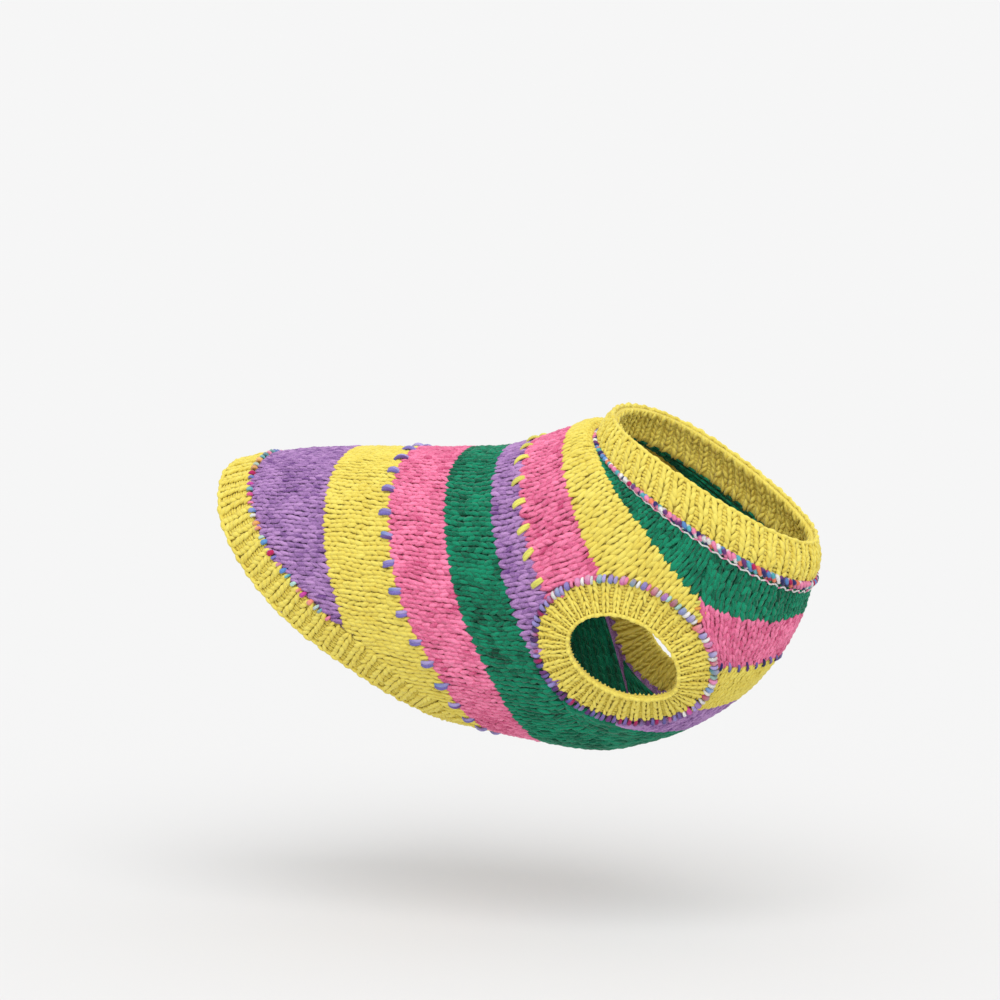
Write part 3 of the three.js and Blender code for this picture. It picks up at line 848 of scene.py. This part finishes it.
# Colours of the sewing yarns, linear
threads = {"white": (0.82, 0.80, 0.78), "pink": (0.85, 0.25, 0.42), "crimson": (0.50, 0.02, 0.10),
           "magenta": (0.75, 0.06, 0.38), "violet": (0.22, 0.18, 0.52), "lilac": (0.42, 0.36, 0.68),
           "blue": (0.12, 0.28, 0.62), "teal": (0.10, 0.42, 0.48), "navy": (0.03, 0.03, 0.14),
           "coral": (0.85, 0.22, 0.12), "mint": (0.45, 0.70, 0.62), "lime": (0.77, 0.73, 0.145),
           "orange": (0.88, 0.42, 0.08), "plum": (0.16, 0.05, 0.20)}


def pickDyes(names, count, spread=0.08):
    picked = np.array([threads[name] for name in names])[rand.integers(0, len(names), count)]
    return np.clip(picked * (1 + rand.normal(0, spread, (count, 1))), 0, 1)


# Stitches of sewing yarn about points on a seam. Each runs straight from start to end, in millimetres ahead
# (the way u grows) and down from the spine, over the knitting, with both ends sunk in it.
sewn = {"sink": -0.8, "archPower": 0.6, "endThick": 0.5, "flatness": 0.85, "uneven": 0.08, "tone": 0.42}


def sewStitches(name, read, u, v, start, end, half, top, dyeFrom, dyeTo, aheadStep=0.5, steps=7):
    count = len(u)

    def column(value):
        return np.broadcast_to(np.asarray(value, float), (count,))[:, None]

    p, n = read(u, v)
    ahead = read(u + aheadStep, v)[0] - read(u - aheadStep, v)[0]
    ahead = unit(ahead - n * (ahead * n).sum(-1, keepdims=True))
    down = np.cross(ahead, n) * np.where(p[:, 1:2] < 0, 1, -1)
    t = np.linspace(0, 1, steps)
    arch = np.sin(t * math.pi)**sewn["archPower"]
    alongAhead, alongDown = [column(a) * (1 - t) + column(b) * t for a, b in zip(start, end)]
    rise = sewn["sink"] + (column(top) - sewn["sink"]) * arch
    centres = p[:, None] + (ahead[:, None] * alongAhead[..., None] + down[:, None] * alongDown[..., None]
                            + n[:, None] * rise[..., None]) * mm
    thick = column(half) * (sewn["endThick"] + (1 - sewn["endThick"]) * arch)
    thick = thick * (1 + rand.normal(0, sewn["uneven"], (count, 1))) * mm
    mix = t[None, :, None]
    layYarn(name, (centres, np.repeat(n[:, None], steps, 1), thick, thick * sewn["flatness"]), "sewing",
            rand.normal(sewn["tone"], sewn["uneven"], count), dyeFrom[:, None] * (1 - mix) + dyeTo[:, None] * mix)


# Angles spread evenly along a seam line, between two angles on both sides
def alongSeam(line, spacing, fromDegrees=0, toDegrees=180):
    fine = np.radians(np.linspace(fromDegrees, toDegrees, 400))
    lengths = runLengths(bodyPoints(lineAt(line, fine), fine)) / mm
    count = round(lengths[-1] / spacing)
    want = (np.arange(count) + 0.5) / count * lengths[-1]
    stray = spacing * 0.06
    rightSide = np.interp(want + rand.normal(0, stray, count), lengths, fine)
    leftSide = 2 * math.pi - np.interp(want + rand.normal(0, stray, count), lengths, fine)
    return np.concatenate([rightSide, leftSide])


# Thick blue whip stitches over the seam behind the pink stripe, lime ones over the seam of the yoke.
# Each is two strands side by side. tilt is its slant at the spine and what the slant gains down to the belly.
whips = {
    "blue": {"seam": "blueSeam", "spacing": 13.6, "to": 180, "reach": (-5.4, 2.2), "tilt": (0.18, 0.9),
             "tiltStray": 0.5, "half": 1.15, "apart": 0.75,
             # Two real strands; the upper one is lighter with lilac, a painted highlight, and the lower one darker
             # with violet and plum, a painted shade
             "dyes": {"upper": (["lilac", "blue", "violet"], ["lilac"]),
                      "lower": (["violet"], ["violet", "violet", "plum"])}},
    "lime": {"seam": "yellowSeam", "spacing": 13.2, "to": 86, "reach": (-4.4, 3.6), "tilt": (1.5, 0.0),
             "tiltStray": 0.35, "half": 1.0, "apart": 0.6, "dye": "lime"},
}
whipTop = 1.9
whipStray = 0.4


def sewWhips(name):
    form = whips[name]
    angles = alongSeam(form["seam"], form["spacing"], 0, form["to"])
    count = len(angles)
    tilt = form["tilt"][0] + form["tilt"][1] * np.sin(angles / 2)**2 + rand.normal(0, form["tiltStray"], count)
    start, end = [reach + rand.normal(0, whipStray, count) for reach in form["reach"]]
    if "dye" in form:
        plain = pickDyes([form["dye"]], count, 0.05)
    for strand, side in (("upper", -1), ("lower", 1)):
        apart = side * form["apart"]
        dyed = (plain, plain) if "dye" in form else [pickDyes(names, count) for names in form["dyes"][strand]]
        sewStitches(name + "_whip_" + strand, bodyRead, lineAt(form["seam"], angles), angles,
                    (start, tilt + apart), (end, apart - tilt), form["half"], whipTop, *dyed)


# Thin slanted stitches over the chest seam, small ones over the shoulder seams and along the hem's upper part
tack = {"chestFrom": 132, "chestSpacing": 5.2, "chestLength": 5.6, "chestHalf": 0.7, "chestSlant": 2.3,
        "chestTop": 1.7, "bandClear": 1.06, "hemSpacing": 4.1, "hemHalf": 1.2, "hemTop": 1.6,
        "hemLowest": math.radians(104), "hemStart": (-1.9, -0.5), "hemEnd": (1.7, 0.5), "shoulderSpacing": 3.2,
        "shoulderReach": (-84, -60), "shoulderHalf": 0.75, "shoulderTop": 1.4, "shoulderStart": (-1.6, -1.4),
        "shoulderEnd": (1.4, 1.2)}
bandAheadStep = 0.03    # as a share of a band's width


def sewChestTacking():
    angles = alongSeam("chestSeam", tack["chestSpacing"], tack["chestFrom"])
    angles = angles[armReach(bodyPoints(lineAt("chestSeam", angles), angles)) > tack["bandClear"]]
    count = len(angles)
    half = tack["chestLength"] / 2
    slant = tack["chestSlant"] + rand.normal(0, 0.3, count)
    sewStitches("chest_tacking", bodyRead, lineAt("chestSeam", angles), angles, (-half, slant), (half, -slant),
                tack["chestHalf"], tack["chestTop"], pickDyes(["navy", "plum", "navy"], count),
                pickDyes(["navy", "violet", "lilac"], count), steps=5)


def sewHemTacking():
    count = round(hemGirth / mm / tack["hemSpacing"])
    share = (np.arange(count) + rand.normal(0, 0.15, count)) / count
    seam, _ = hemRead(0.0, share)
    lowest = bodyPoints(lineAt("hem", tack["hemLowest"]), tack["hemLowest"])[2]
    share = share[seam[:, 2] > lowest]
    count = len(share)
    names = ["pink", "coral", "blue", "teal", "white", "magenta", "mint", "crimson", "violet", "orange"]
    dye = pickDyes(names, count)
    half = tack["hemHalf"] * rand.uniform(0.65, 1.15, count)
    sewStitches("hem_tacking", hemRead, 0 * share, share, tack["hemStart"], tack["hemEnd"], half, tack["hemTop"],
                dye, pickDyes(names + ["white"], count) * 0.4 + dye * 0.6, bandAheadStep, steps=5)


def sewShoulderTacking():
    z = np.arange(*tack["shoulderReach"], tack["shoulderSpacing"])
    place, angle = surfaceAt(shoulderX(z), z)
    clear = armReach(bodyPoints(place, angle)) > tack["bandClear"]
    place = np.tile(place[clear], 2)
    angle = np.concatenate([angle[clear], 2 * math.pi - angle[clear]])
    dye = pickDyes(["orange", "lime", "lime"], len(place))
    sewStitches("shoulder_tacking", bodyRead, place, angle, tack["shoulderStart"], tack["shoulderEnd"],
                tack["shoulderHalf"], tack["shoulderTop"], dye, dye, steps=5)


# Overcasting round the arm openings: fat and thin stitches in turn, whitish outside and bright towards the
# band, with thin dark ones behind and below
overcast = {"spacing": 2.7, "fat": 1.5, "thin": 1.05, "outer": -3.2, "inner": 0.9, "top": 2.1,
            "paleShare": 0.55,
            "darkFrom": 0.44, "darkTo": 0.90}


def sewArmEdge(name, read):
    count = round(armGirth / mm / overcast["spacing"] / 2) * 2
    share = (np.arange(count) + rand.normal(0, 0.10, count)) / count
    dark = (share > overcast["darkFrom"]) & (share < overcast["darkTo"])
    fat = np.where(dark | (np.arange(count) % 2 == 1), overcast["thin"], overcast["fat"])
    inside = pickDyes(["violet", "pink", "crimson", "teal", "magenta", "violet", "coral", "blue"], count)
    pale = pickDyes(["white", "lilac", "mint", "white", "pink"], count)
    inside = np.where((fat == overcast["fat"])[:, None], inside, pale)
    outside = (1 - overcast["paleShare"]) * inside + overcast["paleShare"] * pale
    outside[dark] = pickDyes(["plum", "lilac", "navy"], dark.sum())
    inside[dark] = pickDyes(["plum", "violet", "crimson"], dark.sum())
    start = (overcast["outer"] + rand.normal(0, 0.25, count), -0.5 + 0 * share)
    end = (overcast["inner"] + rand.normal(0, 0.25, count), 0.5 + 0 * share)
    sewStitches(name, read, 0 * share, share, start, end, fat, overcast["top"] - 0.4 * (fat < 1), outside,
                inside, bandAheadStep, steps=6)


# Two-ply cord on the collar seam, its plies dyed in short lengths, and a thin pale yarn beside it
cord = {"pitch": 5.6, "turnRadius": 0.95, "plyHalf": 1.1, "knobs": 2, "knobRise": 0.2, "height": 1.3,
        "stepsPerTurn": 11, "dyeLength": 1.6, "paleWidth": -0.125, "paleHalf": 0.5}


def layCord():
    turns = round(neckGirth / mm / cord["pitch"])
    steps = turns * cord["stepsPerTurn"] + 1
    share = np.linspace(0, 1, steps)
    names = ["pink", "pink", "pink", "crimson", "white", "blue", "teal", "navy", "plum", "white", "navy",
             "coral"]
    lengths = round(neckGirth / mm / cord["dyeLength"])
    centres = []
    dyed = []
    for ply in (0, 1):
        turn = share * turns * 2 * math.pi + ply * math.pi
        width = cord["turnRadius"] * np.cos(turn) / bands["neck"]["width"]
        height = (cord["height"] + cord["turnRadius"] * np.sin(turn)) * mm
        p, _ = neckRead(width, share, height)
        centres.append(p)
        lengthNumber = np.minimum((share * lengths + 0.5 * ply).astype(int), lengths)
        dyed.append(pickDyes(names, lengths + 1)[lengthNumber])
    centres = np.array(centres)
    _, n = neckRead(0 * share, share)
    knobs = 1 + cord["knobRise"] * np.sin(share * turns * cord["knobs"] * 2 * math.pi)
    thick = np.full((2, steps), cord["plyHalf"] * mm) * knobs
    layYarn("collar_cord", (centres, np.array([n, n]), thick, thick), "sewing", np.array([0.42, 0.42]),
            np.array(dyed), sides=7)
    wave = np.sin(share * turns * 2 * math.pi)
    p, n = neckRead(cord["paleWidth"] + 0.02 * wave, share, (1.05 + 0.35 * wave) * mm)
    pale = np.array([threads[name] for name in ("white", "pink", "white", "white")])
    dyed = pale[(share * lengths * 0.8).astype(int) % 4]
    thick = np.full((1, steps), cord["paleHalf"] * mm)
    layYarn("collar_pale_yarn", (p[None], n[None], thick, thick), "sewing", np.array([0.45]), dyed[None], sides=5)


sewWhips("blue")
sewWhips("lime")
sewChestTacking()
sewHemTacking()
sewShoulderTacking()
sewArmEdge("arm_overcasting_right", armRead)
sewArmEdge("arm_overcasting_left", leftArmRead)
layCord()
print("sewing done")


# A sheet under the stitches, from two grids of points. Each face's colour and place in the stitch grid come
# from its row and column.
def gridSheet(name, outer, inner, closed, uvAt, stripeAt, materials):
    rows, columns, _ = outer.shape
    points = np.concatenate([outer.reshape(-1, 3), inner.reshape(-1, 3)])
    layer = rows * columns
    faces = []
    slots = []
    coords = []
    noUv = [(0, 0)] * 4

    def addFace(corners, uv, slot):
        faces.append(corners)
        coords.append(uv)
        slots.append(slot)

    last = columns if closed else columns - 1
    for i in range(rows - 1):
        for j in range(last):
            k = (j + 1) % columns
            a, b, c, d = i * columns + j, i * columns + k, (i + 1) * columns + k, (i + 1) * columns + j
            uv = [uvAt(i, j), uvAt(i, j + 1), uvAt(i + 1, j + 1), uvAt(i + 1, j)]
            addFace((a, b, c, d), uv, stripeAt(i, j))
            addFace((layer + a, layer + d, layer + c, layer + b), [uv[0], uv[3], uv[2], uv[1]], stripeAt(i, j))
    for j in range(last):
        k = (j + 1) % columns
        end = (rows - 1) * columns
        addFace((j, layer + j, layer + k, k), noUv, stripeAt(0, j))
        addFace((end + j, end + k, layer + end + k, layer + end + j), noUv, stripeAt(rows - 2, j))
    for i in range(0 if closed else rows - 1):
        a = i * columns
        b = a + columns
        c = b - 1
        d = c + columns
        addFace((a, b, layer + b, layer + a), noUv, stripeAt(i, 0))
        addFace((c, layer + c, layer + d, d), noUv, stripeAt(i, columns - 2))
    p = [points[[face[i] for face in faces]] for i in range(4)]
    volume = (p[0] * (np.cross(p[1], p[2]) + np.cross(p[2], p[3]))).sum()
    if volume < 0:
        faces = [tuple(reversed(f)) for f in faces]
        coords = [list(reversed(c)) for c in coords]
    mesh = bpy.data.meshes.new(name)
    mesh.from_pydata([tuple(v) for v in points], [], faces)
    mesh.polygons.foreach_set("use_smooth", np.ones(len(faces), bool))
    mesh.polygons.foreach_set("material_index", slots)
    uvLayer = mesh.uv_layers.new(name="grid")
    uvLayer.data.foreach_set("uv", np.array(coords, float).ravel())
    mesh.update()
    work = bmesh.new()
    work.from_mesh(mesh)
    bmesh.ops.remove_doubles(work, verts=work.verts, dist=0.03 * mm)
    work.to_mesh(mesh)
    work.free()
    # The sheet's shade value of 0.2, below the stitches' 0.3 to 0.35, paints it darker: painted shade in the gaps
    # between stitches
    setShade(mesh, np.full(len(mesh.vertices), 0.2))
    return linkObject(name, mesh, materials)


sheetPlans = {
    "rear_panel": {"wall": ("hem", "blueSeam")},
    "middle_panel": {"wall": ("blueSeam", "tubeFront")},
    "yoke_panel": {"wall": ("yellowSeam", "collarSeam"), "from": "spine", "limit": armEdgeAngle, "columns": 60},
    "chest_panel": {"wall": ("belly", "chestSeam"), "from": "belly", "limit": armEdgeAngle, "columns": 36},
    "bib_panel": {"wall": ("chestSeam", "collarSeam"), "from": "belly", "limit": 100, "columns": 44},
}
rowsPerStripe = 6
scanTurns = np.radians(np.linspace(0, 180, 721))


# Front edge of the tube: the yoke's seam, the arm opening where that comes first, and the belly's straight seam
def tubeFront(angle):
    turn = fromSpine(angle)
    front = np.where(turn > math.radians(armEdgeAngle), bodyForm["bellySeam"], lineAt("yellowSeam", angle))
    scan = np.linspace(50, 75, 251)
    points = bodyPoints(scan[:, None], turn.ravel()[None, :])
    inside = armReach(points) < 1
    first = np.where(inside.any(axis=0), scan[np.argmax(inside, axis=0)], math.inf).reshape(turn.shape)
    return np.minimum(front, first)


def wallLine(name, angle):
    return tubeFront(angle) if name == "tubeFront" else lineAt(name, angle)


# Rows of a panel from one edge line to the other, with a row on each colour change.
# Gives the places at the angles and the stripe under each row.
def wallRows(panel, angles):
    plan = sheetPlans[panel]
    low = wallLine(plan["wall"][0], angles)
    high = wallLine(plan["wall"][1], angles)
    lines = [low]
    for stripe in panels[panel]["stripes"][:-1]:
        lines.append(np.clip(lineAt(stripe[2], angles), low, high))
    lines.append(high)
    places = [low]
    owners = []
    for number, (before, after) in enumerate(zip(lines, lines[1:])):
        for step in range(1, rowsPerStripe + 1):
            places.append(before + (after - before) * step / rowsPerStripe)
            owners.append(number)
    return np.array(places), owners


# How far from the spine each row's edge lies: at the arm opening or the shoulder seam
def rowEdges(panel):
    plan = sheetPlans[panel]
    places, _ = wallRows(panel, scanTurns)
    points = bodyPoints(places, scanTurns[None, :] + 0 * places)
    free = armReach(points) > 1
    limit = math.radians(plan["limit"])
    if panel == "yoke_panel":
        free &= points[..., 0] / mm < seamX(points)
    if panel == "bib_panel":
        free &= points[..., 0] / mm > seamX(points)
    if plan["from"] == "spine":
        free &= scanTurns < limit
        return scanTurns[np.argmin(free, axis=1)]
    free &= scanTurns > limit
    backwards = free[:, ::-1]
    return scanTurns[::-1][np.argmin(backwards, axis=1)]


flatArea = {}
panelSheet = {"tuckAngle": sheetForm["tuckLength"] / 55, "openUv": 1.3, "placePerUv": 2.5, "leastWidth": 0.05}


def sheetPanel(panel):
    plan = sheetPlans[panel]
    stripes = panels[panel]["stripes"]
    closed = "from" not in plan
    if closed:
        angles = np.linspace(0, 2 * math.pi, waleCount + 1)[None, :-1]
    else:
        edges = rowEdges(panel)[:, None]
        share = np.concatenate([[0], np.linspace(0, 1, plan["columns"] + 1), [1]])[None, :]
        outwards = np.zeros(share.shape)
        outwards[0, 0] = -panelSheet["tuckAngle"]
        outwards[0, -1] = panelSheet["tuckAngle"]
        first, last = (-edges, edges) if plan["from"] == "spine" else (edges, 2 * math.pi - edges)
        angles = first + (last - first) * share + outwards
    rows = len(stripes) * rowsPerStripe + 1
    angles = angles + np.zeros((rows, 1))
    places = np.array([wallRows(panel, angles[i])[0][i] for i in range(rows)])
    owners = wallRows(panel, angles[0])[1]
    tuck = sheetForm["tuckLength"]
    places = np.concatenate([places[:1] - tuck, places, places[-1:] + tuck])
    angles = np.concatenate([angles[:1], angles, angles[-1:]])
    owners = [owners[0]] + owners + [owners[-1]]
    tucked = np.zeros(places.shape, bool)
    tucked[[0, -1]] = True
    if not closed:
        tucked[:, [0, -1]] = True
    angles = angles % (2 * math.pi)
    outer, _ = bodyRead(places, angles, np.where(tucked, sheetForm["tuck"], sheetForm["outer"]) * mm)
    inner, _ = bodyRead(places, angles, np.where(tucked, sheetForm["tuckInner"], sheetForm["inner"]) * mm)
    columns = places.shape[1]

    def uvAt(i, j):
        return (j * (1.0 if closed else panelSheet["openUv"]), places[i, j % columns] / panelSheet["placePerUv"])

    # The first, tucked row takes the colour of the first stripe that has any width there
    def stripeAt(i, j):
        if i > 0:
            return owners[i]
        widths = places[2:, j] - places[1:-1, j]
        return owners[1 + int(np.argmax(widths > panelSheet["leastWidth"]))]

    piece = gridSheet(panel.replace("_panel", "_cloth"), outer, inner, closed, uvAt, stripeAt,
                      [purlFinish[stripe[0]] for stripe in stripes])
    flatArea[panel] = sum(face.area for face in piece.data.polygons) / 2
    return piece


sheets = {panel: sheetPanel(panel) for panel in sheetPlans}


# The sheet of a band waves with its ribs, lies level at the seam and free edge, and rises under the loops
bandSheet = {"wave": 0.3, "seamFade": 0.35, "edgeFade": 0.25, "lip": 0.55, "lipWidth": 0.2, "uvRow": 0.8,
             "uvColumns": 8.0}


def sheetBand(node, kind, read):
    form = bands[kind]
    ribs = form["ribs"]
    seamTuck = -sheetForm["tuckLength"] * 2 / form["width"]
    widths = np.concatenate([[seamTuck], np.linspace(0.0, 1.0, 11)])[:, None]
    shares = np.linspace(0, 1, ribs * 4 + 1)[:-1][None, :]
    fade = np.clip(widths / bandSheet["seamFade"], 0, 1) * np.clip((1 - widths) / bandSheet["edgeFade"], 0, 1)
    wave = bandSheet["wave"] * np.cos(shares * ribs * 2 * math.pi + math.pi) * fade
    tucked = (widths < 0) + 0 * shares
    lip = bandSheet["lip"] * np.clip((widths - 1 + bandSheet["lipWidth"]) / bandSheet["lipWidth"], 0, 1)
    outerDepth = np.where(tucked, sheetForm["tuck"], sheetForm["outer"] + wave + lip)
    innerDepth = np.where(tucked, sheetForm["tuckInner"], sheetForm["outer"] - form["thick"] + wave)
    outer, _ = read(widths, shares, outerDepth * mm)
    inner, _ = read(widths, shares, innerDepth * mm)
    piece = gridSheet(node + "_cloth", outer, inner, True,
                      lambda i, j: (i * bandSheet["uvRow"], j / bandSheet["uvColumns"]), lambda i, j: 0,
                      [purlFinish["yellow"]])
    flatArea[node] = sum(face.area for face in piece.data.polygons) / 2
    return piece


for node, (kind, read) in bandReads.items():
    sheets[node] = sheetBand(node, kind, read)
print("sheets made, flat areas in square cm", {k: round(v * 1e4, 1) for k, v in flatArea.items()})

# Every sheet rides on the body's root, and the part of model.glb it stands for is hidden
for node, piece in sheets.items():
    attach(piece, "root")
    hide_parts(node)
